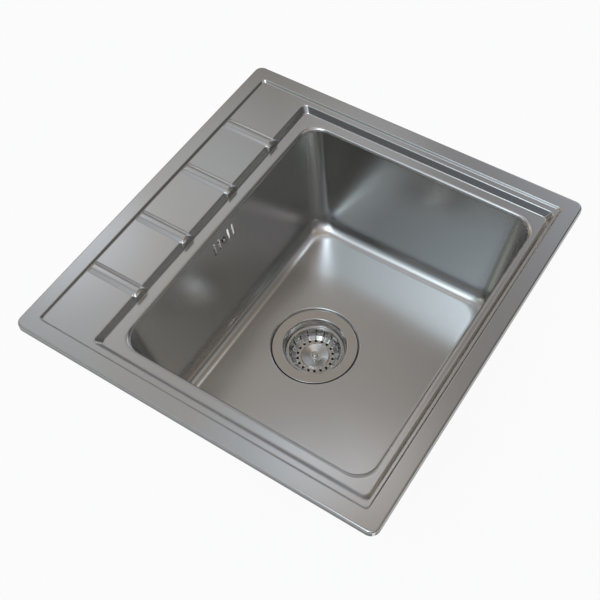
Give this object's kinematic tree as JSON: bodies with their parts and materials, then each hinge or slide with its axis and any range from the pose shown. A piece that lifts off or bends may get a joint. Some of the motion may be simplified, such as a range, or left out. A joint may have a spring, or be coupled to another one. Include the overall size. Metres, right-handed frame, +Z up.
{
  "type": "inset kitchen sink",
  "caption": "Inset stainless steel kitchen sink with one bowl, a small ribbed drainer, overflow, basket strainer waste and hold-down clips.",
  "frame": {"origin": "centre of the rim in plan, at the worktop surface that the rim rests on", "axes": "+X to the bowl's side, away from the drainer; +Y to the back, along the longer side of the rim; +Z up"},
  "size_m": [0.48, 0.5, 0.2759],
  "materials": {
    "satin_steel": "satin pressed stainless steel",
    "polished_steel": "polished stainless steel",
    "plated_steel": "zinc-plated steel",
    "seal_foam": "closed-cell foam",
    "damping_sheet": "matt bitumen-like sheet",
    "seal_rubber": "soft rubber",
    "white_plastic": "moulded polypropylene",
    "black_plastic": "moulded polypropylene",
    "brass": "turned brass"
  },
  "bodies": {
    "sink": {"sink_shell": "satin_steel", "rim_seal": "seal_foam", "damping_pad": "damping_sheet", "clip_brackets": "plated_steel", "clip_pins": "plated_steel", "flange_cup": "polished_steel", "flange_gasket": "seal_foam", "body_gasket": "seal_rubber", "waste_body": "white_plastic", "insert_nut": "brass", "centre_screw": "polished_steel", "overflow_gasket": "seal_rubber", "overflow_housing": "white_plastic", "overflow_screw": "polished_steel", "overflow_pipe": "white_plastic", "pipe_nuts": "black_plastic", "pipe_seals": "seal_rubber"},
    "basket": {"strainer_basket": "polished_steel", "basket_stem": "polished_steel", "seal_spacer": "white_plastic", "basket_seal": "seal_rubber", "stem_retainer": "plated_steel"},
    "claw_1": {"clip_claw_1": "plated_steel", "clip_screw_1": "plated_steel"},
    "claw_2": {"clip_claw_2": "plated_steel", "clip_screw_2": "plated_steel"},
    "claw_3": {"clip_claw_3": "plated_steel", "clip_screw_3": "plated_steel"},
    "claw_4": {"clip_claw_4": "plated_steel", "clip_screw_4": "plated_steel"},
    "claw_5": {"clip_claw_5": "plated_steel", "clip_screw_5": "plated_steel"},
    "claw_6": {"clip_claw_6": "plated_steel", "clip_screw_6": "plated_steel"},
    "claw_7": {"clip_claw_7": "plated_steel", "clip_screw_7": "plated_steel"},
    "claw_8": {"clip_claw_8": "plated_steel", "clip_screw_8": "plated_steel"}
  },
  "joints": [
    {"name": "claw_1_swing", "type": "hinge", "parent": "sink", "child": "claw_1", "pos_m": [0.225, -0.13, -0.003], "axis": [0, -1, 0], "range_deg": [0, 30]},
    {"name": "claw_2_swing", "type": "hinge", "parent": "sink", "child": "claw_2", "pos_m": [0.225, 0.13, -0.003], "axis": [0, -1, 0], "range_deg": [0, 30]},
    {"name": "claw_3_swing", "type": "hinge", "parent": "sink", "child": "claw_3", "pos_m": [0.12, 0.235, -0.003], "axis": [1, 0, 0], "range_deg": [0, 30]},
    {"name": "claw_4_swing", "type": "hinge", "parent": "sink", "child": "claw_4", "pos_m": [-0.12, 0.235, -0.003], "axis": [1, 0, 0], "range_deg": [0, 30]},
    {"name": "claw_5_swing", "type": "hinge", "parent": "sink", "child": "claw_5", "pos_m": [-0.225, 0.13, -0.003], "axis": [0, 1, 0], "range_deg": [0, 30]},
    {"name": "claw_6_swing", "type": "hinge", "parent": "sink", "child": "claw_6", "pos_m": [-0.225, -0.13, -0.003], "axis": [0, 1, 0], "range_deg": [0, 30]},
    {"name": "claw_7_swing", "type": "hinge", "parent": "sink", "child": "claw_7", "pos_m": [-0.12, -0.235, -0.003], "axis": [-1, 0, 0], "range_deg": [0, 30]},
    {"name": "claw_8_swing", "type": "hinge", "parent": "sink", "child": "claw_8", "pos_m": [0.12, -0.235, -0.003], "axis": [-1, 0, 0], "range_deg": [0, 30]},
    {"name": "basket_lift", "type": "slide", "parent": "sink", "child": "basket", "axis": [0, 0, 1], "range_m": [0, 0.24]}
  ]
}
